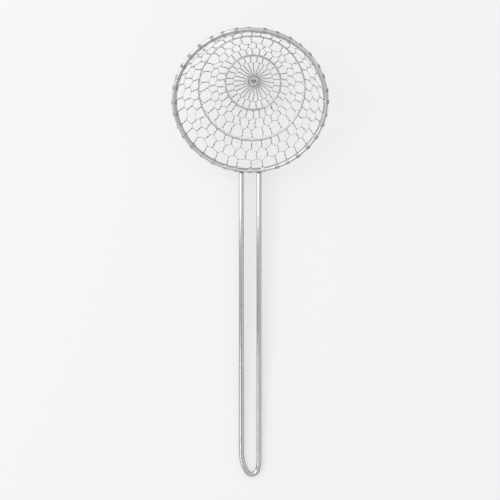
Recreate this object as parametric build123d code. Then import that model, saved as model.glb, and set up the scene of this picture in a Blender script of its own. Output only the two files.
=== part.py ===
"""Wire spider skimmer, lying on a table: a tilted hand-woven wire bowl on a long looped handle.

Millimetres. +Z is up, +Y runs from the handle to the bowl's tip, +X is to the right of someone
who looks along +Y. The origin is the middle of the footprint, on the table.
"""
from build123d import *
from math import acos, atan2, cos, hypot, pi, radians, sin, sqrt, tan
import os

os.makedirs("parts", exist_ok=True)

# Wire diameters
HOOP_WIRE = 3.6
HANDLE_WIRE = 4.8
RING_WIRE = 1.5
HUB_WIRE = 1.0
EDGE_WIRE = 0.8
NET_WIRE = 0.5

# Clearances between wires that lie on each other
FIT = 0.1
RING_FIT = 0.25
WELD_GAP = 0.2

# Bowl: radii to the wire centres, and depths below the mouth along the mouth's own axis
MOUTH_R = 68.0
MIDDLE_R = 49.0
INNER_R = 25.6
MIDDLE_DEPTH = 27.7
INNER_DROP = 16.3
HUB_DROP = 4.5

# The hand-shaped bowl leans to the right, and a little towards its tip
MIDDLE_LEAN = 1.4
INNER_LEAN = 2.6
HUB_LEAN = 3.9
MIDDLE_REACH = 1.1
INNER_REACH = 0.5

# Angles in degrees: the mouth against the table, and the woven rings against the mouth
MOUTH_TILT = 28
RING_TURN = 10

# Handle: from the hoop's centre to the outside of the loop's end
HANDLE_LENGTH = 281.0
LEG_SPACING = 16.2
LEG_OVERHANG = 1.5
LOOP_TIP_R = 5.6
LOOP_SIDE_R = 35.0
LOOP_SKEW = 1.4
WELD_R = 2.7

# Net: rows of stems, from row 0 at the hub to the last row at the mouth. Six stems are hooked
# on the inner ring and six on the middle ring, where the net widens.
HUB_STEMS = 24
ADDED_STEMS = 6
LAST_ROW = 7
INNER_HOOK_ROW = 2
MIDDLE_HOOK_ROW = 5
HALF_ON_ROWS = (1, 3, 6)
FIRST_ADDED = {INNER_HOOK_ROW: 0, MIDDLE_HOOK_ROW: 2}
FIRST_ANGLE = -1.5

# The stations between which each row's stems run. Station 0 is the hub, 1 the inner ring,
# 2 the middle ring and 3 the mouth.
INNER_STATION = 1
MIDDLE_STATION = 2
ROW_START_SHARES = (0.20, 0.72, 1.05, 1.37, 1.65, 2.03, 2.34, 2.64)
ROW_END_SHARES = (0.66, 0.99, 1.28, 1.55, 1.85, 2.21, 2.55, 3.00)
HOOKED_START_SHARES = {INNER_HOOK_ROW: 1.16, MIDDLE_HOOK_ROW: 2.14}
HOOK_SWING = 3.0
SWAY_ANGLE = 1.3
SWAY_SHARE = 0.03
TIGHT_SWAY_SHARE = 0.7
SWAY_WAVE_SHARES = (2.4, 1.7, 1.1, 0.9)
NET_BEND = 1.2
CORNER_SHARE = 0.45
LASH_END = 225
STATION_STEP_SHARE = 0.001
ANGLE_STEP = 0.05

# Sizes that follow from the ones above
NET_R = NET_WIRE / 2
PAIR_OFFSET = NET_R + FIT / 2
RING_LIFT = RING_WIRE / 2 + NET_R + RING_FIT
EDGE_R = MOUTH_R - HOOP_WIRE / 2 - EDGE_WIRE / 2 - FIT
HUB_BEND_R = HUB_WIRE / 2 + NET_R + FIT
HUB_R = HUB_STEMS * (NET_WIRE + FIT + FIT / 2) / (2 * pi) + HUB_BEND_R

# Four stations each, from the hub out to the mouth
STATION_RADII = (HUB_R, INNER_R, MIDDLE_R, MOUTH_R)
STATION_DEPTHS = (MIDDLE_DEPTH + INNER_DROP + HUB_DROP, MIDDLE_DEPTH + INNER_DROP, MIDDLE_DEPTH, 0)
STATION_LEANS = (HUB_LEAN, INNER_LEAN, MIDDLE_LEAN, 0)
STATION_REACHES = (0, INNER_REACH, MIDDLE_REACH, 0)
STATION_TURNS = (RING_TURN, RING_TURN, RING_TURN, 0)

RIGHT = Vector(1, 0, 0)
MOUTH_SLOPE = Vector(0, cos(radians(MOUTH_TILT)), sin(radians(MOUTH_TILT)))
MOUTH_UP = RIGHT.cross(MOUTH_SLOPE)


# The dish that the net follows
def at_station(values, station):
    """The smooth curve through four station values, read anywhere between them."""
    total = 0
    for here, value in enumerate(values):
        weight = 1
        for other in range(len(values)):
            if other != here:
                weight *= (station - other) / (here - other)
        total += value * weight
    return total


def level_frame(station):
    """Centre, radius and plane of the level circle at a station, from the mouth's centre."""
    tilt = radians(MOUTH_TILT - at_station(STATION_TURNS, station))
    centre = RIGHT * at_station(STATION_LEANS, station)
    centre += MOUTH_SLOPE * at_station(STATION_REACHES, station)
    centre -= MOUTH_UP * at_station(STATION_DEPTHS, station)
    return centre, at_station(STATION_RADII, station), Vector(0, cos(tilt), sin(tilt))


def dish(station, angle):
    """A point of the dish."""
    centre, radius, slope = level_frame(station)
    return centre + (RIGHT * cos(radians(angle)) + slope * sin(radians(angle))) * radius


def dish_axes(station, angle):
    """Unit directions on the dish: outwards, around, and up into the bowl."""
    step = STATION_STEP_SHARE
    outwards = dish(station + step, angle) - dish(station - step, angle)
    around = (dish(station, angle + ANGLE_STEP) - dish(station, angle - ANGLE_STEP)).normalized()
    up = outwards.cross(around).normalized()
    return around.cross(up), around, up


def on_dish(station, angle, out=0, side=0, lift=0):
    """A point near the dish, moved outwards, around and up by lengths."""
    outwards, around, up = dish_axes(station, angle)
    return dish(station, angle) + outwards * out + around * side + up * lift


# Rows of stems: each stem holds two wires side by side
def row_count(row):
    """How many stems a row has: the count grows at the inner and at the middle ring."""
    return HUB_STEMS + ADDED_STEMS * ((row >= INNER_HOOK_ROW) + (row >= MIDDLE_HOOK_ROW))


def sway(row, stem, phase):
    """The uneven hand of the weaver, between -1 and 1, less where the net is tight."""
    stem_wave, row_wave, slow_stem_wave, slow_row_wave = SWAY_WAVE_SHARES
    quick = sin(stem_wave * stem + row_wave * row + phase)
    slow = cos(slow_stem_wave * stem - slow_row_wave * row)
    return quick * slow * (1 if row > INNER_HOOK_ROW else TIGHT_SWAY_SHARE)


def stem_angle(row, stem):
    """Where a stem stands round the dish, in degrees."""
    pitch = 360 / row_count(row)
    angle = FIRST_ANGLE + pitch * stem
    if row in HALF_ON_ROWS:
        angle += pitch / 2
    if row >= INNER_HOOK_ROW:
        angle += 360 / HUB_STEMS / 2
    if row >= MIDDLE_HOOK_ROW:
        angle += 360 / row_count(INNER_HOOK_ROW) * FIRST_ADDED[MIDDLE_HOOK_ROW]
    return angle


def stem_place(row, stem, at_end):
    """Station and angle of a stem's lower or upper end, with the weaver's unevenness."""
    stem = stem % row_count(row)
    shares = ROW_END_SHARES if at_end else ROW_START_SHARES
    station = shares[row]
    angle = stem_angle(row, stem)
    if row > 0 or at_end:
        angle += SWAY_ANGLE * sway(row, stem, 0)
    beside_inner_ring = (row, at_end) in ((INNER_HOOK_ROW - 1, 1), (INNER_HOOK_ROW, 0))
    if (row > 0 or at_end) and row < LAST_ROW and not beside_inner_ring:
        station += SWAY_SHARE * sway(row, stem, 1 + at_end)
    return station, angle


def next_stem(row, stem, side):
    """The stem of the next row that a wire goes to, and its side of that stem."""
    if row_count(row + 1) == row_count(row):
        onwards = (side > 0) if row in HALF_ON_ROWS else -(side < 0)
        return stem + onwards, -side
    group = row_count(row) // ADDED_STEMS
    gap = stem + (side > 0)
    turns, place = divmod(gap - 1 - FIRST_ADDED[row + 1], group)
    return (group + 1) * turns + place + 1, -side


# Paths: straight runs joined by tangent arcs
def corner_arc(before, corner, after):
    """The arc that rounds one corner: where it starts, its middle and where it ends."""
    back = (before - corner).normalized()
    on = (after - corner).normalized()
    half_turn = radians(180 - back.get_angle(on)) / 2
    room = CORNER_SHARE * min((before - corner).length, (after - corner).length)
    reach = min(NET_BEND * tan(half_turn), room)
    radius = reach / tan(half_turn)
    middle = corner + (back + on).normalized() * (radius / cos(half_turn) - radius)
    return corner + back * reach, middle, corner + on * reach


def rounded_route(points):
    """Lines and arcs through a list of points, every inner corner rounded."""
    edges = []
    start = points[0]
    for before, corner, after in zip(points, points[1:], points[2:]):
        enter, middle, leave = corner_arc(before, corner, after)
        edges += [Line(start, enter), ThreePointArc(enter, middle, leave)]
        start = leave
    return edges + [Line(start, points[-1])]


def arc_about(centre, axis_a, axis_b, radius, start, end):
    """An arc about a centre in the plane of two axes, from one angle in radians to another."""
    def place(angle):
        return centre + (axis_a * cos(angle) + axis_b * sin(angle)) * radius
    return ThreePointArc(place(start), place((start + end) / 2), place(end))


def tube(edges, diameter):
    """A round wire bent along a path."""
    path = Wire(edges)
    section = Plane(origin=path @ 0, z_dir=path % 0) * Circle(diameter / 2)
    return sweep(section, path=path)


def ring(centre, slope, radius, diameter):
    """A closed ring of wire in the plane of +X and a slope."""
    return Plane(origin=centre, x_dir=RIGHT, z_dir=RIGHT.cross(slope)) * Torus(radius, diameter / 2)


# The lashing that ties a net wire round the hoop and the edge wire
def lashing(angle, side):
    """Where a wire leaves the net for the hoop, and the arcs that wrap it on."""
    out = RIGHT * cos(radians(angle)) + MOUTH_SLOPE * sin(radians(angle))
    around = MOUTH_UP.cross(out)
    hoop = out * MOUTH_R + around * side
    edge = out * EDGE_R + around * side
    hoop_turn = HOOP_WIRE / 2 + FIT + NET_R
    edge_turn = EDGE_WIRE / 2 + FIT + NET_R

    foot = dish(ROW_START_SHARES[LAST_ROW], angle) - hoop
    foot_out, foot_up = foot.dot(out), foot.dot(MOUTH_UP)
    touch = atan2(foot_up, foot_out) + acos(hoop_turn / hypot(foot_out, foot_up))
    cross = pi - acos((hoop_turn - edge_turn) / (MOUTH_R - EDGE_R))

    over_hoop = arc_about(hoop, out, MOUTH_UP, hoop_turn, touch, cross)
    over_edge = arc_about(edge, out, MOUTH_UP, edge_turn, cross, radians(LASH_END))
    foot = hoop + out * foot_out + MOUTH_UP * foot_up
    return foot, [over_hoop, Line(over_hoop @ 1, over_edge @ 0), over_edge]


def climb(row, stem, side):
    """The points of one wire from its row's start up to the hoop, and its lashing."""
    points = []
    while row < LAST_ROW:
        ends = [0, 1] if points else [1]
        for at_end in ends:
            station, angle = stem_place(row, stem, at_end)
            points.append(on_dish(station, angle, side=side * PAIR_OFFSET))
        stem, side = next_stem(row, stem, side)
        row += 1
    foot, wraps = lashing(stem_place(LAST_ROW, stem, 0)[1], side * PAIR_OFFSET)
    points += [foot, wraps[0] @ 0]
    return points, wraps


def reversed_edges(edges):
    """The same lines and arcs, walked from the other end."""
    walked = []
    for edge in reversed(edges):
        if edge.geom_type == GeomType.LINE:
            walked.append(Line(edge @ 1, edge @ 0))
        else:
            walked.append(ThreePointArc(edge @ 1, edge @ 0.5, edge @ 0))
    return walked


def hairpin(bend, start_over, start_under, row, stem):
    """One net wire: down from the hoop, round its bend, and up to the hoop again."""
    over_points, over_wraps = climb(row, stem, -1)
    under_points, under_wraps = climb(row, stem, 1)
    down = reversed_edges(rounded_route(start_over + over_points) + over_wraps)
    up = rounded_route(start_under + under_points) + under_wraps
    return tube(down + [bend] + up, NET_WIRE)


def hub_wire(stem):
    """A net wire that is hooked round the hub ring, over and under it."""
    angle = stem_angle(0, stem)
    centre, radius, slope = level_frame(0)
    out = RIGHT * cos(radians(angle)) + slope * sin(radians(angle))
    up = RIGHT.cross(slope)
    wire = centre + out * radius
    bend = arc_about(wire, out, up, HUB_BEND_R, pi / 2, 3 * pi / 2)
    starts = []
    for rise, side in ((1, -1), (-1, 1)):
        hook_end = wire + up * rise * HUB_BEND_R
        beside = on_dish(ROW_START_SHARES[0], angle, side=side * PAIR_OFFSET)
        starts.append([hook_end, hook_end + out * HUB_BEND_R, beside])
    return hairpin(bend, starts[0], starts[1], 0, stem)


def ring_place(station):
    """Centre, slope and radius of a ring that lies on the net's inside at a station."""
    centre, radius, slope = level_frame(station)
    step = STATION_STEP_SHARE
    growth = at_station(STATION_RADII, station + step) - at_station(STATION_RADII, station - step)
    fall = at_station(STATION_DEPTHS, station - step) - at_station(STATION_DEPTHS, station + step)
    steepness = atan2(fall, growth)
    centre += RIGHT.cross(slope) * RING_LIFT * cos(steepness)
    return centre, slope, radius - RING_LIFT * sin(steepness)


def added_wire(row, group):
    """A net wire that is hooked on the inner or middle ring, where the net widens."""
    at_inner_ring = row == INNER_HOOK_ROW
    station = INNER_STATION if at_inner_ring else MIDDLE_STATION
    stem = group * (row_count(row) // ADDED_STEMS)
    stand = stem_angle(row, stem)
    swing = HOOK_SWING if at_inner_ring else 0
    centre, slope, radius = ring_place(station)
    flat_out = RIGHT * cos(radians(stand + swing)) + slope * sin(radians(stand + swing))
    wire = centre + flat_out * radius
    out, around, up = dish_axes(station, stand + swing)

    # On the inner ring the hook also passes under the net wires that run along the ring
    over = RING_WIRE / 2 + NET_R + FIT
    under = over + (NET_WIRE + 2 * FIT if at_inner_ring else 0)
    bend_r = (over + under) / 2
    middle = wire + up * (over - bend_r)
    bend = arc_about(middle, out, up, bend_r, pi / 2, 3 * pi / 2)
    starts = []
    for rise, side in ((1, -1), (-1, 1)):
        hook_end = middle + up * rise * bend_r
        beside = on_dish(HOOKED_START_SHARES[row], stand, side=side * PAIR_OFFSET)
        starts.append([hook_end, hook_end + out * RING_WIRE / 2, beside])
    return hairpin(bend, starts[0], starts[1], row, stem)


# Stiff wires
def handle(mouth_height):
    """The handle: one wire down one leg, round the loop's end and up the other leg."""
    hoop_y = -sqrt(MOUTH_R**2 - (LEG_SPACING / 2)**2)
    top = MOUTH_SLOPE * hoop_y + Vector(0, 0, mouth_height - (HOOP_WIRE + HANDLE_WIRE) / 2 - WELD_GAP)
    drop = top.Z - HANDLE_WIRE / 2
    reach = HANDLE_LENGTH - HANDLE_WIRE / 2
    along = Vector(0, sqrt(reach**2 - drop**2), drop).normalized()
    flat = Plane(origin=top, x_dir=RIGHT, z_dir=RIGHT.cross(along))

    tip_y = LOOP_TIP_R + HANDLE_WIRE / 2 - HANDLE_LENGTH
    tip = (LOOP_SKEW, tip_y)
    sides = []
    for side in (-1, 1):
        leg_x = side * LEG_SPACING / 2
        inset = LOOP_SIDE_R - abs(leg_x - LOOP_SKEW)
        rise = sqrt((LOOP_SIDE_R - LOOP_TIP_R)**2 - inset**2)
        turn = atan2(rise, inset)
        bow = (leg_x - side * LOOP_SIDE_R, tip_y + rise)
        start = (leg_x, tip_y + rise)
        half = (bow[0] + side * LOOP_SIDE_R * cos(turn / 2), bow[1] - LOOP_SIDE_R * sin(turn / 2))
        end = (tip[0] + side * LOOP_TIP_R * cos(turn), tip[1] - LOOP_TIP_R * sin(turn))
        sides.append([(leg_x, LEG_OVERHANG), start, half, end])
    left, right = sides
    path = [
        Line(left[0], left[1]),
        ThreePointArc(left[1], left[2], left[3]),
        ThreePointArc(left[3], (tip[0], tip[1] - LOOP_TIP_R), right[3]),
        ThreePointArc(right[3], right[2], right[1]),
        Line(right[1], right[0]),
    ]
    return tube([flat * edge for edge in path], HANDLE_WIRE)


def weld(side, mouth_height, hoop, leg_wire):
    """The bead that joins one leg to the underside of the hoop."""
    hoop_y = -sqrt(MOUTH_R**2 - (LEG_SPACING / 2)**2)
    spot = MOUTH_SLOPE * hoop_y + RIGHT * side * LEG_SPACING / 2
    spot += Vector(0, 0, mouth_height - HOOP_WIRE / 2 - WELD_GAP / 2)
    return Pos(*spot) * Sphere(WELD_R) - hoop - leg_wire


def build():
    """Every piece by name, in place on the table."""
    net = {}
    for stem in range(HUB_STEMS):
        net[f"hub_net_wire_{stem + 1:02d}"] = hub_wire(stem)
    for group in range(ADDED_STEMS):
        net[f"inner_net_wire_{group + 1}"] = added_wire(INNER_HOOK_ROW, group)
        net[f"middle_net_wire_{group + 1}"] = added_wire(MIDDLE_HOOK_ROW, group)
    lowest = min(piece.bounding_box().min.Z for piece in net.values())

    bowl = dict(net)
    bowl["rim_hoop"] = ring(Vector(0, 0, 0), MOUTH_SLOPE, MOUTH_R, HOOP_WIRE)
    bowl["edge_wire"] = ring(Vector(0, 0, 0), MOUTH_SLOPE, EDGE_R, EDGE_WIRE)
    bowl["inner_ring"] = ring(*ring_place(INNER_STATION), RING_WIRE)
    bowl["middle_ring"] = ring(*ring_place(MIDDLE_STATION), RING_WIRE)
    centre, radius, slope = level_frame(0)
    bowl["hub_ring"] = ring(centre, slope, radius, HUB_WIRE)

    pieces = {name: Pos(0, 0, -lowest) * piece for name, piece in bowl.items()}
    pieces["handle"] = handle(-lowest)
    for name, side in (("left_weld", -1), ("right_weld", 1)):
        pieces[name] = weld(side, -lowest, pieces["rim_hoop"], pieces["handle"])
    return pieces


def footprint(pieces):
    """The lowest point and the middle of everything together."""
    boxes = [piece.bounding_box() for piece in pieces.values()]
    low_x, high_x = min(box.min.X for box in boxes), max(box.max.X for box in boxes)
    low_y, high_y = min(box.min.Y for box in boxes), max(box.max.Y for box in boxes)
    low_z, high_z = min(box.min.Z for box in boxes), max(box.max.Z for box in boxes)
    print("overall", high_x - low_x, high_y - low_y, high_z - low_z)
    return Vector((low_x + high_x) / 2, (low_y + high_y) / 2, low_z)


pieces = build()
home = Pos(*-footprint(pieces))
for name, piece in pieces.items():
    export_step(home * piece, f"parts/{name}.step")
print("pieces", len(pieces))
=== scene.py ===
# %% [markdown]
# # A wire spider skimmer
# The skimmer lies on a table. A thick wire, bent double, is the handle. A hoop of thinner wire is
# the bowl's mouth, and a net of fine wire, twisted in pairs, hangs from it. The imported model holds
# every piece at its real size. This lesson gives the wires their finish, and rebuilds the net
# with the twist and the lashings that make such a bowl look hand-made.

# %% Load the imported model
import math

import bpy
from mathutils import Matrix, Vector, noise


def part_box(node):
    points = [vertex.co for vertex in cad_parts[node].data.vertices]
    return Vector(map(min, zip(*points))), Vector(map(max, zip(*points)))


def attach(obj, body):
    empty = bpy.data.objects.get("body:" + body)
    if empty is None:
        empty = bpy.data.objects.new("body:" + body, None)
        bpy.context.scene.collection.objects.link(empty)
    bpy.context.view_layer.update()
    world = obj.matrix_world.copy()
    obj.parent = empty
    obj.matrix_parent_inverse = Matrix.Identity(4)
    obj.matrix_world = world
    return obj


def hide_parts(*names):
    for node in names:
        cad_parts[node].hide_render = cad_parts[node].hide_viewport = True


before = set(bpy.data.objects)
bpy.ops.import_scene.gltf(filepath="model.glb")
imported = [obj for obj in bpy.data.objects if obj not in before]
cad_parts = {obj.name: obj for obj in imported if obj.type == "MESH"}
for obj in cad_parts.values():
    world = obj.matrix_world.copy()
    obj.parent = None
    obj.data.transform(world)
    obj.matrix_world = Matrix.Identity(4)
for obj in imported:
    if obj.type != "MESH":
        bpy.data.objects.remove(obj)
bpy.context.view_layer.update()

# %% [markdown]
# ## The wires and the bowl
# A net like this is measured by its wire gauges and by a few circles: the hoop, two woven rings
# and the hub. All of them were set when the solid model was made, so the same sizes are written
# here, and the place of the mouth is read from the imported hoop. A cubic through the four circles
# gives a smooth dish between them, which is simpler to follow than a mesh would be.

# %% Sizes
MM = 0.001
HOOP_WIRE = 3.6 * MM
EDGE_WIRE = 0.8 * MM
RING_WIRE = 1.5 * MM
HUB_WIRE = 1.0 * MM
NET_WIRE = 0.5 * MM
FIT = 0.1 * MM
RING_FIT = 0.25 * MM

MOUTH_R = 68.0 * MM
MIDDLE_R = 49.0 * MM
INNER_R = 25.6 * MM
MIDDLE_DEPTH = 27.7 * MM
INNER_DROP = 16.3 * MM
HUB_DROP = 4.5 * MM
MIDDLE_LEAN = 1.4 * MM
INNER_LEAN = 2.6 * MM
HUB_LEAN = 3.9 * MM
MIDDLE_REACH = 1.1 * MM
INNER_REACH = 0.5 * MM
MOUTH_TILT = 28
RING_TURN = 10

NET_R = NET_WIRE / 2
RING_LIFT = RING_WIRE / 2 + NET_R + RING_FIT
EDGE_R = MOUTH_R - HOOP_WIRE / 2 - EDGE_WIRE / 2 - FIT
HUB_BEND_R = HUB_WIRE / 2 + NET_R + FIT
HUB_STEMS = 24
ADDED_STEMS = 6
HOOK_SPACING = NET_WIRE + 1.5 * FIT
HUB_R = HUB_STEMS * HOOK_SPACING / (2 * math.pi) + HUB_BEND_R

hoop_low, hoop_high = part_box("rim_hoop")
MOUTH_CENTRE = (hoop_low + hoop_high) / 2
print("mouth centre:", [round(value / MM, 2) for value in MOUTH_CENTRE], "mm")

# %% The dish between the circles
STATION_RADII = (HUB_R, INNER_R, MIDDLE_R, MOUTH_R)
STATION_DEPTHS = (MIDDLE_DEPTH + INNER_DROP + HUB_DROP, MIDDLE_DEPTH + INNER_DROP, MIDDLE_DEPTH, 0)
STATION_LEANS = (HUB_LEAN, INNER_LEAN, MIDDLE_LEAN, 0)
STATION_REACHES = (0, INNER_REACH, MIDDLE_REACH, 0)
STATION_TURNS = (RING_TURN, RING_TURN, RING_TURN, 0)
RIGHT = Vector((1, 0, 0))
MOUTH_SLOPE = Vector((0, math.cos(math.radians(MOUTH_TILT)), math.sin(math.radians(MOUTH_TILT))))
MOUTH_UP = RIGHT.cross(MOUTH_SLOPE)


def at_station(values, station):
    """The smooth curve through four station values: 0 is the hub and 3 is the mouth."""
    total = 0
    for here, value in enumerate(values):
        weight = 1
        for other in range(len(values)):
            if other != here:
                weight *= (station - other) / (here - other)
        total += value * weight
    return total


def level_frame(station):
    """Centre, radius and slope direction of the level circle at a station."""
    tilt = math.radians(MOUTH_TILT - at_station(STATION_TURNS, station))
    centre = MOUTH_CENTRE + RIGHT * at_station(STATION_LEANS, station)
    centre = centre + MOUTH_SLOPE * at_station(STATION_REACHES, station)
    centre = centre - MOUTH_UP * at_station(STATION_DEPTHS, station)
    return centre, at_station(STATION_RADII, station), Vector((0, math.cos(tilt), math.sin(tilt)))


def dish(station, angle):
    """A point of the dish."""
    centre, radius, slope = level_frame(station)
    turn = math.radians(angle)
    return centre + (RIGHT * math.cos(turn) + slope * math.sin(turn)) * radius


STATION_STEP = 0.001
ANGLE_STEP = 0.05


def dish_axes(station, angle):
    """Directions on the dish: outwards, around, and up into the bowl."""
    outwards = dish(station + STATION_STEP, angle) - dish(station - STATION_STEP, angle)
    around = (dish(station, angle + ANGLE_STEP) - dish(station, angle - ANGLE_STEP)).normalized()
    up = outwards.cross(around).normalized()
    return around.cross(up), around, up


print("hub:", [round(value / MM, 1) for value in level_frame(0)[0]], "mm")

# %% [markdown]
# ## The plan of the net
# The net is worked outwards from the hub. Two wires are twisted together for a short way, part in
# a V, and each is twisted with its neighbour: a row of twisted stems, then a row of Vs. Where the
# bowl widens, at each ring, six more wires are hooked on. Rows and stems are only counts and
# shares here, so that a loop can walk a wire from row to row.

# %% Rows of stems
FIRST_ANGLE = -1.5
LAST_ROW = 7
INNER_HOOK_ROW = 2
MIDDLE_HOOK_ROW = 5
HALF_ON_ROWS = (1, 3, 6)
FIRST_ADDED = {INNER_HOOK_ROW: 0, MIDDLE_HOOK_ROW: 2}
ROW_STARTS = (0.20, 0.72, 1.05, 1.37, 1.65, 2.03, 2.34, 2.64)
ROW_ENDS = (0.66, 0.99, 1.28, 1.55, 1.85, 2.21, 2.55, 2.86)
ROW_TWISTS = (3.25, 1, 1, 1, 1, 1, 1, 1)
HOOKED_STARTS = {INNER_HOOK_ROW: 1.16, MIDDLE_HOOK_ROW: 2.14}
HOOK_SWING = 3.0
SWAY_ANGLE = 1.3
SWAY_SHARE = 0.03
TIGHT_SWAY_SHARE = 0.7
SWAY_WAVES = (2.4, 1.7, 1.1, 0.9)


def row_count(row):
    """How many stems a row has."""
    return HUB_STEMS + ADDED_STEMS * ((row >= INNER_HOOK_ROW) + (row >= MIDDLE_HOOK_ROW))


def sway(row, stem, phase):
    """The uneven hand of the weaver, between -1 and 1, less where the net is tight."""
    stem_wave, row_wave, slow_stem_wave, slow_row_wave = SWAY_WAVES
    quick = math.sin(stem_wave * stem + row_wave * row + phase)
    slow = math.cos(slow_stem_wave * stem - slow_row_wave * row)
    return quick * slow * (1 if row > INNER_HOOK_ROW else TIGHT_SWAY_SHARE)


def stem_angle(row, stem):
    """Where a stem stands round the dish, in degrees."""
    pitch = 360 / row_count(row)
    angle = FIRST_ANGLE + pitch * stem
    if row in HALF_ON_ROWS:
        angle += pitch / 2
    if row >= INNER_HOOK_ROW:
        angle += 360 / HUB_STEMS / 2
    if row >= MIDDLE_HOOK_ROW:
        angle += 360 / row_count(INNER_HOOK_ROW) * FIRST_ADDED[MIDDLE_HOOK_ROW]
    return angle


def stem_place(row, stem, at_end):
    """Station and angle of a stem's lower or upper end, with the weaver's unevenness."""
    stem = stem % row_count(row)
    station = (ROW_ENDS if at_end else ROW_STARTS)[row]
    angle = stem_angle(row, stem)
    if row > 0 or at_end:
        angle += SWAY_ANGLE * sway(row, stem, 0)
    beside_inner_ring = (row, at_end) in ((INNER_HOOK_ROW - 1, 1), (INNER_HOOK_ROW, 0))
    if (row > 0 or at_end) and row < LAST_ROW and not beside_inner_ring:
        station += SWAY_SHARE * sway(row, stem, 1 + at_end)
    return station, angle


def next_stem(row, stem, side):
    """The stem of the next row that a wire goes to, and its side of that stem."""
    if row_count(row + 1) == row_count(row):
        onwards = (side > 0) if row in HALF_ON_ROWS else -(side < 0)
        return stem + onwards, -side
    group = row_count(row) // ADDED_STEMS
    gap = stem + (side > 0)
    turns, place = divmod(gap - 1 - FIRST_ADDED[row + 1], group)
    return (group + 1) * turns + place + 1, -side


print("stems:", [row_count(row) for row in range(LAST_ROW + 1)])

# %% [markdown]
# ## Wire that strays
# Wire that was bent by hand strays a little where nothing holds it, most in the steep wall at the
# bowl's tip. Dragging points about by hand would look right once, and break at the next change of
# size. Smooth noise, a coarse and a fine one, does it for all of them. It fades out at the hub and
# at each ring, and only pushes into the bowl, so that the net stays inside its packed size.

# %% Stray
STRAYS = ((110, 2.4 * MM), (320, 0.7 * MM))
SPOKE_STRAY = 0.55
TIP_STRAY = 1.3
TIP_FROM_STATION = 1.5
INWARD_STRAY = 1.2
STRAY_SEED = 3
noise.seed_set(STRAY_SEED)


def stray(station, place, up):
    """How far a wire strays over the dish and into the bowl, least where it is held."""
    free = math.sin(math.pi * station) ** 2 * (1 if station > 1 else SPOKE_STRAY)
    if station > TIP_FROM_STATION:
        towards_tip = max(0, (place - MOUTH_CENTRE).dot(MOUTH_SLOPE) / MOUTH_R)
        free *= 1 + TIP_STRAY * towards_tip ** 2
    total = Vector((0, 0, 0))
    for waves, reach in STRAYS:
        total += noise.noise_vector(place * waves) * (reach * free)
    rise = total.dot(up)
    return total + up * (INWARD_STRAY * abs(rise) - rise)


for station in (0.5, 1.5, 2.5):
    moved = stray(station, dish(station, 90), dish_axes(station, 90)[2]).length / MM
    print("stray at station", station, "towards the tip:", round(moved, 2), "mm")

# %% [markdown]
# ## A strand of the net
# Each strand is a list of points: a helix along every stem, a bent run over every V, and at the
# mouth a few turns round the hoop and the edge wire together. Two strands half a turn apart make
# the twist. A straight tube could stand for a stem, but the twist is what catches the light in
# dots, so the helix is worth its points. Every point also carries a shade that darkens the net's
# colour: painted shade where it lies deep between its neighbours, and painted light below zero.

# %% A twisted stem
PAIR_R = NET_R
NET_LIFT = NET_R
POINTS_PER_TWIST = 12
LEAST_STEM_POINTS = 6
# Painted shade in a twist, darkest where the strands lie side by side, and painted light below zero.
TWIST_LIGHTEST, TWIST_DARKEST = -0.1, 1.05
USUAL_CLOSING = 5


def near_dish(station, angle, side=0, lift=0):
    """A point of the net: near the dish, moved around and up by lengths."""
    outwards, around, up = dish_axes(station, angle)
    return dish(station, angle) + around * side + up * (lift + NET_LIFT)


def shaded(point, shade):
    """A point and its darkening of the net's colour: painted shade, or painted light below zero."""
    return Vector((*point, shade))


def stem_points(start, end, side, twists, start_turn=0.0, start_r=PAIR_R, closing=USUAL_CLOSING):
    """A helix between two places on the dish, as one strand of a twisted pair.

    The pair may start wide apart, at start_r, and closes sooner the larger closing is.
    """
    count = max(LEAST_STEM_POINTS, round(twists * POINTS_PER_TWIST))
    points = []
    for number in range(count + 1):
        share = number / count
        station = start[0] + (end[0] - start[0]) * share
        angle = start[1] + (end[1] - start[1]) * share
        turn = 2 * math.pi * (start_turn + twists * share) + (0 if side > 0 else math.pi)
        radius = PAIR_R + (start_r - PAIR_R) * max(0, 1 - closing * share)
        place = near_dish(station, angle, radius * math.cos(turn), radius * math.sin(turn))
        place += stray(station, dish(station, angle), dish_axes(station, angle)[2])
        # painted shade, deepest where the two strands lie side by side
        depth = math.cos(turn) ** 2
        points.append(shaded(place, TWIST_LIGHTEST + (TWIST_DARKEST - TWIST_LIGHTEST) * depth))
    return points


spoke = stem_points((ROW_STARTS[0], 0), (ROW_ENDS[0], 0), 1, ROW_TWISTS[0])
print("points along one spoke:", len(spoke))

# %% A free run
RUN_POINTS = 8
RUN_PULL = 0.75
RUN_SHADE = 0.2


def run_points(row, stem, side, onto):
    """The free run of a strand to the next stem: a cubic that leaves and joins in line."""
    start, end = (near_dish(*stem_place(row, stem, at_end)) for at_end in (0, 1))
    onto_start, onto_end = (near_dish(*stem_place(row + 1, onto, at_end)) for at_end in (0, 1))
    leave, join = stem_place(row, stem, 1), stem_place(row + 1, onto, 0)
    first = near_dish(*leave, PAIR_R * side)
    last = near_dish(*join, -PAIR_R * side)
    leave_up, join_up = dish_axes(*leave)[2], dish_axes(*join)[2]
    pull = (last - first).length * RUN_PULL
    leaving = (end - start).normalized() * pull
    joining = (onto_end - onto_start).normalized() * pull
    points = []
    for number in range(1, RUN_POINTS):
        share = number / RUN_POINTS
        rest = 1 - share
        place = first * (rest * rest * (1 + 2 * share)) + last * (share * share * (1 + 2 * rest))
        place = place + leaving * (share * rest * rest) - joining * (share * share * rest)
        up = (leave_up * rest + join_up * share).normalized()
        place += stray(leave[0] * rest + join[0] * share, place, up)
        points.append(shaded(place, RUN_SHADE))
    return points


run = run_points(0, 0, 1, next_stem(0, 0, 1)[0])
print("one run:", round((run[-1] - run[0]).to_3d().length / MM, 1), "mm")
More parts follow.
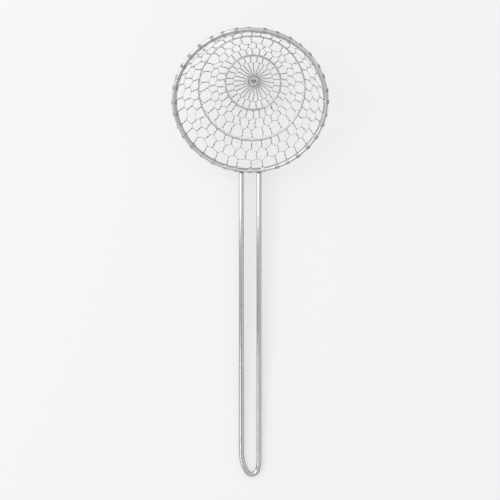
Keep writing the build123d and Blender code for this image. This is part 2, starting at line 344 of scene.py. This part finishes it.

# %% [markdown]
# ## A lashing
# The end of each strand is wound round the hoop and the edge wire together, which ties the net to
# the mouth. In cross-section a turn follows the hoop outside and the thin wire inside. No two
# lashings are wound alike, so a slow noise along the mouth changes their turns and how dark they
# are. The outward side of every turn carries painted shade.
# A coil round the hoop alone would be simpler, but it would miss the thin wire that it ties on.

# %% A lashing
LASH_TURNS = 2.6
LASH_STEP = 1.05 * NET_WIRE
LASH_POINTS = 18
LASH_UNEVEN = 0.5
LASH_WAVES = 0.37
# Painted shade on the outward side of every lashing turn.
LASH_OUTER_SHADE = 0.5


def lashing_points(angle, side):
    """A strand's turns round the hoop and the edge wire, seen in their cross-section."""
    out = RIGHT * math.cos(math.radians(angle)) + MOUTH_SLOPE * math.sin(math.radians(angle))
    around = MOUTH_UP.cross(out)
    hoop_turn = HOOP_WIRE / 2 + NET_R
    edge_turn = EDGE_WIRE / 2 + NET_R
    foot = dish(ROW_ENDS[LAST_ROW], angle) - MOUTH_CENTRE
    foot_out, foot_up = foot.dot(out) - MOUTH_R, foot.dot(MOUTH_UP)
    spread = math.acos(min(1, hoop_turn / math.hypot(foot_out, foot_up)))
    touch = math.atan2(foot_up, foot_out) + spread
    cross = math.pi - math.acos((hoop_turn - edge_turn) / (MOUTH_R - EDGE_R))
    unevenness = noise.noise(Vector((angle * LASH_WAVES, 0, 0)))
    turns = LASH_TURNS + LASH_UNEVEN * unevenness
    count = round(turns * LASH_POINTS)
    points = []
    for number in range(count + 1):
        turned = turns * number / count
        turn = touch + 2 * math.pi * turned
        facing = math.atan2(math.sin(turn), math.cos(turn))
        on_hoop = abs(facing) < cross
        centre_r = MOUTH_R if on_hoop else EDGE_R
        radius = hoop_turn if on_hoop else edge_turn
        along = side * (PAIR_R + LASH_STEP * turned)
        place = out * (centre_r + radius * math.cos(facing)) + MOUTH_UP * radius * math.sin(facing)
        # Painted shade on the outward side; the noise darkens or lightens whole lashings at random.
        outer = max(0, math.cos(facing)) ** 2
        shade = LASH_OUTER_SHADE * outer + LASH_UNEVEN * unevenness
        points.append(shaded(MOUTH_CENTRE + place + around * along, shade))
    return points


print("points of the first lashings:", [len(lashing_points(angle, 1)) for angle in (0, 10, 20)])

# %% A whole strand, and its corners
EASED_SIDES, EASED_MIDDLE = 0.2, 0.6
SMOOTHINGS = 2


def climb(row, stem, side, started=False):
    """One strand from its row's start up to the end of its lashing."""
    points = []
    while row <= LAST_ROW:
        if started:
            places = stem_place(row, stem, 0), stem_place(row, stem, 1)
            points += stem_points(*places, side, ROW_TWISTS[row])
        started = True
        if row < LAST_ROW:
            onto, other_side = next_stem(row, stem, side)
            points += run_points(row, stem, side, onto)
            stem, side = onto, other_side
        row += 1
    return points + lashing_points(stem_place(LAST_ROW, stem, 0)[1], side)


def smoothed(points, rounds):
    """The same points with their corners eased, as bent wire has."""
    for _ in range(rounds):
        eased = [points[0]]
        for before, here, after in zip(points, points[1:], points[2:]):
            eased.append(before * EASED_SIDES + here * EASED_MIDDLE + after * EASED_SIDES)
        points = eased + [points[-1]]
    return points


def evenly(points, spacing):
    """More points on the long runs, so that easing rounds only their corners."""
    filled = [points[0]]
    for before, here in zip(points, points[1:]):
        parts = max(1, round((here - before).to_3d().length / spacing))
        filled += [before.lerp(here, part / parts) for part in range(1, parts + 1)]
    return filled


print("points from the hub to the mouth:", len(climb(0, 0, 1)))

# %% [markdown]
# ## Where a wire starts
# Two strands are one wire. At the hub it is hooked over the small ring, and the hooks crowd
# towards the middle in a swirl of three lengths, round a small pit. The hooks carry painted light,
# and the bends of the shortest ones carry painted shade, which makes the pit dark. At the inner
# and the middle ring, six more wires are hooked on where the net widens. The strands could simply
# stop at a ring, but the crowded hooks are most of what is seen in the middle of the bowl.

# %% Half a turn round a ring's wire
BEND_STEPS = 8
# Painted light on a bend round a ring's wire: a shade below zero lightens it.
BEND_SHADE = -0.3


def bend_points(centre, out, up, radius, shade=BEND_SHADE):
    """Half a circle round a ring's wire, from over it to under it."""
    turns = [math.pi * (0.5 + step / BEND_STEPS) for step in range(BEND_STEPS + 1)]
    places = [centre + (out * math.cos(turn) + up * math.sin(turn)) * radius for turn in turns]
    return [shaded(place, shade) for place in places]


print("points of a bend:", BEND_STEPS + 1)

# %% A hook at the hub
HUB_TIPS = (0.6 * MM, 1.75 * MM, 2.2 * MM)
# Painted light on two hooks in three, most on one of them; painted shade on the bends in the pit.
HUB_SHADES = (0.0, -0.8, -0.3)
HUB_CLOSINGS = (3.2, 6, 4, 9, 5)
HUB_PIT_R = 2.0 * MM
HUB_PIT_SHADE = 1
HUB_SWIRL = 38
TIP_STEPS = 5
SPOKE_START = 0.045


def hub_hook(angle, tip, shade):
    """A hook over the hub ring that reaches in to tip, swirls a little, and comes back under it."""
    centre, radius, slope = level_frame(0)
    up = RIGHT.cross(slope)

    def out(swirl):
        turn = math.radians(angle + swirl)
        return RIGHT * math.cos(turn) + slope * math.sin(turn)

    innermost = tip + HUB_BEND_R
    over, under = [], []
    for step in range(TIP_STEPS):
        share = step / TIP_STEPS
        reach = radius + (innermost - radius) * share
        swirl = HUB_SWIRL * share * share * (radius - innermost) / radius
        over.append(shaded(centre + out(swirl) * reach + up * HUB_BEND_R, shade))
        under.append(shaded(centre + out(swirl) * reach - up * HUB_BEND_R, shade))
    tip_out = out(HUB_SWIRL * (radius - innermost) / radius)
    # Painted shade on the bends of the shortest hooks, which darkens the pit.
    tip_shade = HUB_PIT_SHADE if innermost < HUB_PIT_R else shade
    bend = bend_points(centre + tip_out * innermost, tip_out, up, HUB_BEND_R, tip_shade)
    return over + bend + under[::-1]


def hub_hairpin(stem):
    """A wire hooked over and under the hub ring, its two strands twisted right from there."""
    angle = stem_angle(0, stem)
    places = (SPOKE_START, angle), stem_place(0, stem, 1)
    twists = ROW_TWISTS[0]
    closing = HUB_CLOSINGS[stem % len(HUB_CLOSINGS)]
    strands = []
    for side in (-1, 1):
        spoke = stem_points(*places, side, twists, 1 - twists % 1, HUB_BEND_R, closing)
        strands.append(spoke + climb(0, stem, side))
    over, under = strands if strands[0][0].z > strands[1][0].z else strands[::-1]
    kind = stem % len(HUB_TIPS)
    return over[::-1] + hub_hook(angle, HUB_TIPS[kind], HUB_SHADES[kind]) + under


print("points of a wire from the hub:", len(hub_hairpin(0)))

# %% A hook on a woven ring
RING_STATIONS = {INNER_HOOK_ROW: 1, MIDDLE_HOOK_ROW: 2}


def ring_place(station):
    """Centre, slope and radius of a ring that lies on the net's inside at a station."""
    centre, radius, slope = level_frame(station)
    below, above = station - STATION_STEP, station + STATION_STEP
    growth = at_station(STATION_RADII, above) - at_station(STATION_RADII, below)
    fall = at_station(STATION_DEPTHS, below) - at_station(STATION_DEPTHS, above)
    steepness = math.atan2(fall, growth)
    centre = centre + RIGHT.cross(slope) * RING_LIFT * math.cos(steepness)
    return centre, slope, radius - RING_LIFT * math.sin(steepness)


def added_hairpin(row, group):
    """A wire hooked on the inner or middle ring, where the net widens."""
    at_inner_ring = row == INNER_HOOK_ROW
    station = RING_STATIONS[row]
    stem = group * (row_count(row) // ADDED_STEMS)
    stand = stem_angle(row, stem)
    swing = math.radians(stand + (HOOK_SWING if at_inner_ring else 0))
    centre, slope, radius = ring_place(station)
    wire = centre + (RIGHT * math.cos(swing) + slope * math.sin(swing)) * radius
    out, around, up = dish_axes(station, math.degrees(swing))
    over = RING_WIRE / 2 + NET_R + FIT
    under = over + (NET_WIRE + 2 * FIT if at_inner_ring else 0)
    bend_r = (over + under) / 2
    bend = bend_points(wire + up * (over - bend_r), out, up, bend_r)
    places = (HOOKED_STARTS[row], stand), stem_place(row, stem, 1)
    over_side = stem_points(*places, -1, 1)
    under_side = stem_points(*places, 1, 1)
    return (over_side + climb(row, stem, -1))[::-1] + bend + under_side + climb(row, stem, 1)


print("points of a wire from each ring:", [len(added_hairpin(row, 0)) for row in RING_STATIONS])

# %% [markdown]
# ## From points to wire
# A curve with a bevel would do for a wire, but a mesh tube keeps its ring of corners in step with
# the path, and exports as it is. The ring is carried from point to point by the smallest turn,
# so it never spins, and the ends are closed.

# %% A tube along points
NET_SIDES = 7


def tube_mesh(name, points, radius, sides):
    """A round wire as a mesh, from a list of points."""
    vertices, faces = [], []
    shades = [point.w for point in points for _ in range(sides)]
    points = [point.to_3d() for point in points]
    direction = (points[1] - points[0]).normalized()
    normal = direction.orthogonal().normalized()
    last = len(points) - 1
    for number, point in enumerate(points):
        ahead = points[min(number + 1, last)] - points[max(number - 1, 0)]
        turned = ahead.normalized()
        normal = direction.rotation_difference(turned) @ normal
        direction = turned
        across = direction.cross(normal)
        for side in range(sides):
            turn = 2 * math.pi * side / sides
            vertices.append(point + (normal * math.cos(turn) + across * math.sin(turn)) * radius)
    for number in range(last):
        for side in range(sides):
            following = (side + 1) % sides
            low, high = number * sides, (number + 1) * sides
            faces.append((low + side, low + following, high + following, high + side))
    faces.append(tuple(range(sides))[::-1])
    faces.append(tuple(range(last * sides, (last + 1) * sides)))
    mesh = bpy.data.meshes.new(name)
    mesh.from_pydata(vertices, [], faces)
    mesh.attributes.new("shade", "FLOAT", "POINT").data.foreach_set("value", shades)
    mesh.shade_smooth()
    piece = bpy.data.objects.new(name, mesh)
    bpy.context.collection.objects.link(piece)
    return piece


print("corners round a net wire:", NET_SIDES)

# %% [markdown]
# ## Steel that looks drawn
# Stainless wire is drawn through a die, which leaves faint lines along it, and handling dulls it
# here and there. Both effects are shared by all the wires, so each is a node group with its own
# inputs: one changes colour and gloss from broad dullness and fine lines, and one stretches the
# lines along a ring. An image could hold the lines too, but it would have to be laid out on every
# wire.

# %% Node helpers
def feed(tree, socket, value):
    """Gives an input a plain value, or another node's output."""
    if isinstance(value, bpy.types.NodeSocket):
        tree.links.new(value, socket)
    else:
        socket.default_value = value


def add(tree, kind, settings=None, **values):
    """A node with its settings, and its inputs fed by name."""
    node = tree.nodes.new(kind)
    for label, value in (settings or {}).items():
        setattr(node, label, value)
    for label, value in values.items():
        feed(tree, node.inputs[label.replace("_", " ")], value)
    return node


def worked(tree, operation, *values, kind="ShaderNodeMath", output=0):
    """An output of a math node, whose inputs are fed in order."""
    node = add(tree, kind, {"operation": operation})
    for socket, value in zip(node.inputs, values):
        feed(tree, socket, value)
    return node.outputs[output]


def vector_worked(tree, operation, *values, output=0):
    """An output of a vector math node, whose inputs are fed in order."""
    return worked(tree, operation, *values, kind="ShaderNodeVectorMath", output=output)


def new_group(name, inputs, outputs):
    """An empty shader group with named sockets, and its two end nodes."""
    group = bpy.data.node_groups.new(name, "ShaderNodeTree")
    for label, kind, value in inputs:
        socket = group.interface.new_socket(label, in_out="INPUT", socket_type=kind)
        if value is not None:
            socket.default_value = value
    for label, kind in outputs:
        group.interface.new_socket(label, in_out="OUTPUT", socket_type=kind)
    return group, group.nodes.new("NodeGroupInput"), group.nodes.new("NodeGroupOutput")


HELPERS = feed, add, worked, vector_worked, new_group
print("node helpers:", ", ".join(helper.__name__ for helper in HELPERS))

# %% Group: a worn, uneven surface
LINE_SHARE = 0.45
LINE_DETAIL, LINE_ROUGHNESS = 3.0, 0.6
SPOT_DETAIL, SPOT_ROUGHNESS = 4.0, 0.65
WORN_LOW, WORN_HIGH = 0.35, 0.65


def worn_steel_group():
    """Colour and roughness that change over the wire, from broad dullness and fine lines."""
    group, source, sink = new_group(
        "worn_steel",
        [
            ("Lines at", "NodeSocketVector", None),
            ("Spots at", "NodeSocketVector", None),
            ("Bright", "NodeSocketColor", (0.7, 0.7, 0.71, 1)),
            ("Dull", "NodeSocketColor", (0.5, 0.5, 0.5, 1)),
            ("Smoothest", "NodeSocketFloat", 0.15),
            ("Roughest", "NodeSocketFloat", 0.35),
            ("Line depth", "NodeSocketFloat", 0.1),
        ],
        [
            ("Color", "NodeSocketColor"),
            ("Roughness", "NodeSocketFloat"),
            ("Height", "NodeSocketFloat"),
        ],
    )
    given = source.outputs
    lines = add(
        group, "ShaderNodeTexNoise",
        Vector=given["Lines at"], Scale=1.0, Detail=LINE_DETAIL, Roughness=LINE_ROUGHNESS,
    ).outputs["Fac"]
    spots = add(
        group, "ShaderNodeTexNoise",
        Vector=given["Spots at"], Scale=1.0, Detail=SPOT_DETAIL, Roughness=SPOT_ROUGHNESS,
    ).outputs["Fac"]
    spots = worked(group, "MULTIPLY", spots, 1 - LINE_SHARE)
    blend = worked(group, "MULTIPLY_ADD", lines, LINE_SHARE, spots)
    worn = add(
        group, "ShaderNodeMapRange", Value=blend, From_Min=WORN_LOW, From_Max=WORN_HIGH
    ).outputs[0]
    tint = add(
        group, "ShaderNodeMix", {"data_type": "RGBA"},
        Factor=worn, A=given["Bright"], B=given["Dull"],
    )
    rough = add(
        group, "ShaderNodeMapRange",
        Value=worn, To_Min=given["Smoothest"], To_Max=given["Roughest"],
    )
    feed(group, sink.inputs["Color"], tint.outputs["Result"])
    feed(group, sink.inputs["Roughness"], rough.outputs[0])
    feed(group, sink.inputs["Height"], worked(group, "MULTIPLY", lines, given["Line depth"]))
    return group


WORN_STEEL = worn_steel_group()
print("group:", WORN_STEEL.name, "with", len(WORN_STEEL.nodes), "nodes")

# %% Group: places round a ring
FINE_ACROSS = 2500.0
SLOW_ALONG = 25.0


def around_ring_group():
    """Turns a place into one that stretches along a ring, so that lines follow its wire."""
    group, source, sink = new_group(
        "around_ring",
        [
            ("Place", "NodeSocketVector", None),
            ("Centre", "NodeSocketVector", (0, 0, 0)),
            ("Axis", "NodeSocketVector", (0, 0, 1)),
            ("Fine", "NodeSocketFloat", FINE_ACROSS),
        ],
        [("Stretched", "NodeSocketVector")],
    )
    given = source.outputs
    offset = vector_worked(group, "SUBTRACT", given["Place"], given["Centre"])
    height = vector_worked(group, "DOT_PRODUCT", offset, given["Axis"], output="Value")
    length = vector_worked(group, "LENGTH", offset, output="Value")
    both = add(group, "ShaderNodeCombineXYZ", X=height, Y=length).outputs[0]
    scaling = {"operation": "SCALE"}
    fine = add(group, "ShaderNodeVectorMath", scaling, Vector=both, Scale=given["Fine"])
    slow = add(group, "ShaderNodeVectorMath", scaling, Vector=offset, Scale=SLOW_ALONG)
    total = vector_worked(group, "ADD", fine.outputs[0], slow.outputs[0])
    feed(group, sink.inputs["Stretched"], total)
    return group


AROUND_RING = around_ring_group()
print("group:", AROUND_RING.name, "with", len(AROUND_RING.nodes), "nodes")

# %% A steel material
BUMP_DEPTH = 0.1 * MM


def steel(name, bright, dull, gloss, spots, lines, bump, ring=None, grain=None, painted_shade_colour=None):
    """Stainless wire: a metal whose colour, gloss and lines come from the worn steel group.

    Its lines follow a ring, or are stretched by grain. The wire's shade attribute darkens its colour
    with painted shade, and lightens it with painted light where it is below zero.
    """
    material = bpy.data.materials.new(name)
    material.use_nodes = True
    tree = material.node_tree
    shader = tree.nodes["Principled BSDF"].inputs
    shader["Metallic"].default_value = 1.0
    place = add(tree, "ShaderNodeTexCoord").outputs["Object"]
    spots_at = add(tree, "ShaderNodeMapping", Vector=place, Scale=(spots,) * 3).outputs[0]
    if ring:
        centre, axis = ring
        lines_at = add(
            tree, "ShaderNodeGroup", {"node_tree": AROUND_RING},
            Place=place, Centre=centre, Axis=axis,
        ).outputs[0]
    else:
        lines_at = add(tree, "ShaderNodeMapping", Vector=place, Scale=grain).outputs[0]
    worn = add(
        tree, "ShaderNodeGroup", {"node_tree": WORN_STEEL},
        Lines_at=lines_at, Spots_at=spots_at, Bright=(*bright, 1), Dull=(*dull, 1),
        Smoothest=gloss[0], Roughest=gloss[1], Line_depth=lines,
    ).outputs
    colour = worn["Color"]
    # Painted shade: the shade attribute darkens the colour, and lightens it where it is below zero.
    if painted_shade_colour:
        depth = add(tree, "ShaderNodeAttribute", {"attribute_name": "shade"}).outputs["Fac"]
        settings = {"data_type": "RGBA", "blend_type": "MULTIPLY", "clamp_factor": False}
        darker = add(tree, "ShaderNodeMix", settings, Factor=depth, A=colour, B=(*painted_shade_colour, 1))
        colour = darker.outputs["Result"]
    raised = add(
        tree, "ShaderNodeBump", Strength=bump, Distance=BUMP_DEPTH, Height=worn["Height"]
    )
    feed(tree, shader["Base Color"], colour)
    feed(tree, shader["Roughness"], worn["Roughness"])
    feed(tree, shader["Normal"], raised.outputs[0])
    return material


print("bump of a drawn line:", BUMP_DEPTH / MM, "mm at most")

# %% [markdown]
# ## The finishes
# The handle is drawn and polished, so it has the sharpest reflections. The hoop is paler and
# duller from the lashing work, the two woven rings shine like the handle, the net is a soft grey,
# and the thin edge wire is the dullest. The weld beads are dark. Eight separate materials
# could be built by hand, but all of it is one metal, so one function makes them. Each is told a
# bright and a dull colour, the least and the greatest roughness, how small the spots and how deep
# the lines are, and how far these are raised. The net is also told the colour of its painted shade.

# %% Materials
ALONG_HANDLE = (2200, 12, 2200)
NO_DIRECTION = (900, 900, 900)


def ring_lines(station):
    """Centre and axis of a woven ring, for lines along its wire."""
    centre, slope, _ = ring_place(station)
    return centre, RIGHT.cross(slope)


def grey(value, blue=0.0):
    """A grey with a touch of blue."""
    return value, value, value + blue


WOVEN_RING = {
    "bright": grey(0.6, 0.01), "dull": grey(0.49), "gloss": (0.08, 0.2),
    "spots": 120, "lines": 0.5, "bump": 0.15,
}
FINISHES = {
    "handle_steel": {
        "bright": grey(0.61, 0.01), "dull": grey(0.5, 0.01), "gloss": (0.08, 0.11),
        "spots": 60, "lines": 0.6, "bump": 0.07, "grain": ALONG_HANDLE,
    },
    "hoop_steel": {
        "bright": grey(0.75, 0.01), "dull": grey(0.57), "gloss": (0.16, 0.36),
        "spots": 110, "lines": 0.6, "bump": 0.2, "ring": (MOUTH_CENTRE, MOUTH_UP),
    },
    "edge_steel": {
        "bright": grey(0.58, 0.01), "dull": grey(0.44), "gloss": (0.25, 0.45),
        "spots": 200, "lines": 0.4, "bump": 0.2, "ring": (MOUTH_CENTRE, MOUTH_UP),
    },
    "middle_ring_steel": {**WOVEN_RING, "ring": ring_lines(RING_STATIONS[MIDDLE_HOOK_ROW])},
    "inner_ring_steel": {**WOVEN_RING, "ring": ring_lines(RING_STATIONS[INNER_HOOK_ROW])},
    "hub_ring_steel": {
        "bright": grey(0.6, 0.01), "dull": grey(0.45), "gloss": (0.2, 0.4),
        "spots": 300, "lines": 0.4, "bump": 0.15, "grain": NO_DIRECTION,
    },
    # The net's painted shade colour darkens its twists, its lashings and the pit at the hub.
    "net_steel": {
        "bright": grey(0.73, 0.01), "dull": grey(0.55), "gloss": (0.14, 0.3),
        "spots": 240, "lines": 0.4, "bump": 0.15, "grain": NO_DIRECTION, "painted_shade_colour": grey(0.1),
    },
    "weld_steel": {
        "bright": (0.26, 0.25, 0.25), "dull": grey(0.12), "gloss": (0.3, 0.6),
        "spots": 600, "lines": 0.8, "bump": 0.6, "grain": NO_DIRECTION,
    },
}
STEELS = {name: steel(name, **finish) for name, finish in FINISHES.items()}
print("steels:", ", ".join(STEELS))

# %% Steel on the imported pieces
STEEL_OF = {
    "handle": "handle_steel",
    "rim_hoop": "hoop_steel",
    "edge_wire": "edge_steel",
    "middle_ring": "middle_ring_steel",
    "inner_ring": "inner_ring_steel",
    "hub_ring": "hub_ring_steel",
    "left_weld": "weld_steel",
    "right_weld": "weld_steel",
}
for node, steel_name in STEEL_OF.items():
    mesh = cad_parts[node].data
    mesh.materials.clear()
    mesh.materials.append(STEELS[steel_name])
    mesh.shade_smooth()
print("pieces finished:", len(STEEL_OF))

# %% [markdown]
# ## Weaving the net
# Thirty-six wires make the net: two dozen from the hub, six from each ring. Every one stands for
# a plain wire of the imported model. One wire, copied round the bowl, would be less work, but the
# mouth is tilted and the weaving is uneven, so each wire is worked out on its own.

# %% Weave
RUN_SPACING = 0.45 * MM


def weave(name, points, node):
    """One wire of the net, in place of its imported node."""
    points = smoothed(evenly(points, RUN_SPACING), SMOOTHINGS)
    piece = tube_mesh(name, points, NET_R, NET_SIDES)
    piece.data.materials.append(STEELS["net_steel"])
    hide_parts(node)
    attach(piece, "root")
    return len(points)


woven = 0
for stem in range(HUB_STEMS):
    number = f"{stem + 1:02d}"
    woven += weave(f"twisted_hub_wire_{number}", hub_hairpin(stem), f"hub_net_wire_{number}")
for group in range(ADDED_STEMS):
    for ring, row in (("inner", INNER_HOOK_ROW), ("middle", MIDDLE_HOOK_ROW)):
        name = f"twisted_{ring}_wire_{group + 1}"
        woven += weave(name, added_hairpin(row, group), f"{ring}_net_wire_{group + 1}")
print("points woven:", woven)

# %% [markdown]
# ## The table
# The skimmer lies on a plain pale table. The table lights itself a little for the camera and for
# reflections, so that it is nearly white and still takes soft shadows. A white table under
# stronger lamps would do the same, and would burn out the steel.

# %% Floor
FLOOR_SIZE = 6.0
FLOOR_SHADE = 0.37
FLOOR_ROUGHNESS = 0.6
FLOOR_GLOW = 0.491


def floor():
    """A plain pale table."""
    mesh = bpy.data.meshes.new("table_top")
    half = FLOOR_SIZE / 2
    corners = [(-half, -half, 0), (half, -half, 0), (half, half, 0), (-half, half, 0)]
    mesh.from_pydata(corners, [], [(0, 1, 2, 3)])
    table = bpy.data.objects.new("table_top", mesh)
    bpy.context.collection.objects.link(table)
    material = bpy.data.materials.new("pale_table")
    material.use_nodes = True
    tree = material.node_tree
    shader = tree.nodes["Principled BSDF"].inputs
    shader["Base Color"].default_value = (FLOOR_SHADE, FLOOR_SHADE, FLOOR_SHADE, 1)
    shader["Roughness"].default_value = FLOOR_ROUGHNESS
    shader["Emission Color"].default_value = (1, 1, 1, 1)
    rays = add(tree, "ShaderNodeLightPath").outputs
    seen = worked(tree, "MAXIMUM", rays["Is Camera Ray"], rays["Is Glossy Ray"])
    seen = worked(tree, "MAXIMUM", seen, rays["Is Transmission Ray"])
    feed(tree, shader["Emission Strength"], worked(tree, "MULTIPLY", seen, FLOOR_GLOW))
    mesh.materials.append(material)


floor()
print("table:", FLOOR_SIZE, "m wide")

# %% [markdown]
# ## The light
# Round wire shows its whole surroundings across its width, so they are built with care. A large
# soft window stands on the left. A narrow one, also on the left but past the handle's end, draws
# the thin light line along the lower legs. Area lights do for both, since a real window is just
# such a bright rectangle.

# %% Two windows
WINDOW_LEFT, WINDOW_INNER = 2.7, 0.65
WINDOW_LOW, WINDOW_TOP = 0.5, 2.4
WINDOW_NEAR, WINDOW_LENGTH = -0.06, 1.7
WINDOW_POWER = 25
STRIP_LEFT, STRIP_INNER = 1.62, 1.44
STRIP_LOW, STRIP_TOP = 1.2, 1.4
STRIP_NEAR, STRIP_LENGTH = -1.1, 0.8
STRIP_POWER = 3.5


def soft_light(name, low, high, length, power):
    """A soft rectangle between two edges along y, which start at low and at high."""
    data = bpy.data.lights.new(name, "AREA")
    data.shape = "RECTANGLE"
    data.size = length
    data.size_y = (high - low).length
    data.energy = power
    lamp = bpy.data.objects.new(name, data)
    bpy.context.collection.objects.link(lamp)
    lamp.location = (low + high) / 2 + Vector((0, length / 2, 0))
    upwards = (high - low).normalized()
    along = Vector((0, -1, 0))
    turned = Matrix((along, upwards, along.cross(upwards))).transposed()
    lamp.rotation_euler = turned.to_euler()
    print(name, "of", round(data.size, 2), "by", round(data.size_y, 2), "m")


soft_light(
    "window",
    Vector((-WINDOW_LEFT, WINDOW_NEAR, WINDOW_LOW)),
    Vector((-WINDOW_INNER, WINDOW_NEAR, WINDOW_TOP)),
    WINDOW_LENGTH, WINDOW_POWER,
)
soft_light(
    "strip",
    Vector((-STRIP_LEFT, STRIP_NEAR, STRIP_LOW)),
    Vector((-STRIP_INNER, STRIP_NEAR, STRIP_TOP)),
    STRIP_LENGTH, STRIP_POWER,
)

# %% [markdown]
# ## The room
# The rest of the light comes from a pale room, brightest overhead and uneven from side to side,
# which shades the wires from one edge to the other. A small dark patch overhead stands for the
# camera's arm, and draws the dark line along the lower legs. All of it is one brightness, worked
# out from the direction, so that no picture of a room is needed.

# %% The room's brightness
SKY_LOW, SKY_HIGH = -0.1, 0.93
SKY_CURVE = 0.25
SKY_RISE = 0.1
SIDE_SLANT, NEAR_SLANT = 0.12, -0.2
SLANT_INNER, SLANT_OUTER = 0.15, 0.6
ARM_DARK = 0.7
ARM_HALF_WIDTH, ARM_EDGE = 0.12, 0.3
ARM_Y, ARM_HALF_LENGTH, ARM_END = -0.125, 0.045, 0.085

world = bpy.data.worlds.new("studio")
bpy.context.scene.world = world
world.use_nodes = True
sky = world.node_tree


def eased(part, inner, outer, near, far):
    """A value that goes smoothly from near to far as a part of the direction leaves zero."""
    away = worked(sky, "ABSOLUTE", part)
    smooth = {"interpolation_type": "SMOOTHSTEP"}
    return add(
        sky, "ShaderNodeMapRange", smooth,
        Value=away, From_Min=inner, From_Max=outer, To_Min=near, To_Max=far,
    ).outputs[0]


direction = add(sky, "ShaderNodeTexCoord").outputs["Generated"]
parts = add(sky, "ShaderNodeSeparateXYZ", Vector=direction).outputs
height = add(sky, "ShaderNodeClamp", Value=parts["Z"]).outputs[0]
shade = worked(sky, "POWER", height, SKY_CURVE)
shade = worked(sky, "MULTIPLY_ADD", shade, SKY_HIGH - SKY_LOW, SKY_LOW)
slant = eased(parts["Y"], SLANT_INNER, SLANT_OUTER, SIDE_SLANT, NEAR_SLANT)
shade = worked(sky, "MULTIPLY_ADD", parts["X"], slant, shade)
shade = worked(sky, "MULTIPLY_ADD", parts["Y"], SKY_RISE, shade)
shade = worked(sky, "MAXIMUM", shade, 0.0)
arm_wide = eased(parts["X"], ARM_HALF_WIDTH, ARM_EDGE, 1.0, 0.0)
arm_long = eased(worked(sky, "SUBTRACT", parts["Y"], ARM_Y), ARM_HALF_LENGTH, ARM_END, 1.0, 0.0)
arm = worked(sky, "MULTIPLY", arm_wide, arm_long)
shade = worked(sky, "MULTIPLY", shade, worked(sky, "MULTIPLY_ADD", arm, -ARM_DARK, 1.0))
background = sky.nodes["Background"].inputs
background["Color"].default_value = (1, 1, 1, 1)
feed(sky, background["Strength"], shade)
print("room nodes:", len(sky.nodes))

# %% [markdown]
# ## The camera
# The photograph looks straight down, and the handle's sides are nearly parallel in it, so the
# camera stands high, about a metre and a half up, with a long lens. A camera without perspective
# would be simpler, but the bowl's depth does shift its rings a little in the photograph.

# %% Camera
CAMERA_HEIGHT = 1.472
CAMERA_X = -0.0002
CAMERA_Y = 0.0064
VIEW_WIDTH_AT_ONE_METRE = 0.3125
SENSOR = 36

camera_data = bpy.data.cameras.new("camera")
camera_data.sensor_width = SENSOR
camera_data.lens = SENSOR / VIEW_WIDTH_AT_ONE_METRE
camera = bpy.data.objects.new("camera", camera_data)
bpy.context.collection.objects.link(camera)
camera.location = (CAMERA_X, CAMERA_Y, CAMERA_HEIGHT)
bpy.context.scene.camera = camera
bpy.context.scene.view_settings.view_transform = "Standard"
print("lens:", round(camera_data.lens, 1), "mm")
